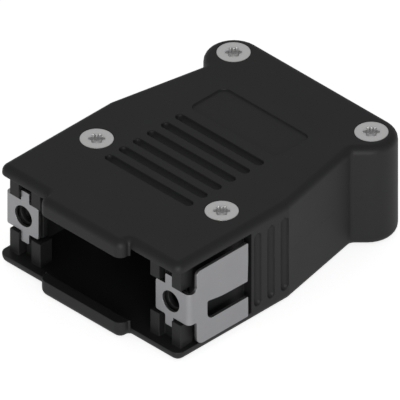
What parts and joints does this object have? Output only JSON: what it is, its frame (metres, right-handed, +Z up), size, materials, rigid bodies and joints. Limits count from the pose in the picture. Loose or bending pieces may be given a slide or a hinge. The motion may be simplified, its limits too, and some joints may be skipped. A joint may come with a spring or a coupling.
{
  "type": "d-sub hood",
  "caption": "Moulded two-shell hood for a D-sub cable connector, with sprung side latches at the front, a cable clamp inside and a grommet at the rear.",
  "frame": {"origin": "centre of the base, under the middle of the overall length", "axes": "+X to the right latch, +Y from the connector opening to the cable outlet, +Z up out of the face with the screw heads"},
  "size_m": [0.0406, 0.055, 0.019],
  "materials": {
    "shell_plastic": "fine satin moulded black plastic",
    "grommet_rubber": "matte black rubber",
    "latch_steel": "stamped stainless spring sheet, satin",
    "spring_steel": "bright drawn spring wire",
    "screw_zinc": "bright zinc plating",
    "insert_brass": "turned brass"
  },
  "bodies": {
    "housing": {"top_shell": "shell_plastic", "bottom_shell": "shell_plastic", "cable_grommet": "grommet_rubber", "cable_clamp": "latch_steel", "left_latch_spring": "spring_steel", "right_latch_spring": "spring_steel", "front_left_screw": "screw_zinc", "front_right_screw": "screw_zinc", "rear_left_screw": "screw_zinc", "rear_right_screw": "screw_zinc", "front_left_insert": "insert_brass", "front_right_insert": "insert_brass", "rear_left_insert": "insert_brass", "rear_right_insert": "insert_brass", "left_clamp_screw": "screw_zinc", "right_clamp_screw": "screw_zinc", "left_clamp_insert": "insert_brass", "right_clamp_insert": "insert_brass"},
    "left_latch": {"left_latch": "latch_steel"},
    "right_latch": {"right_latch": "latch_steel"}
  },
  "joints": [
    {"name": "left_latch_press", "type": "slide", "parent": "housing", "child": "left_latch", "axis": [1, 0, 0], "range_m": [0, 0.0009], "stiffness_N_per_m": 1500, "springref_m": -0.001, "deforming": ["left_latch_spring"]},
    {"name": "right_latch_press", "type": "slide", "parent": "housing", "child": "right_latch", "axis": [-1, 0, 0], "range_m": [0, 0.0009], "stiffness_N_per_m": 1500, "springref_m": -0.001, "deforming": ["right_latch_spring"]}
  ]
}
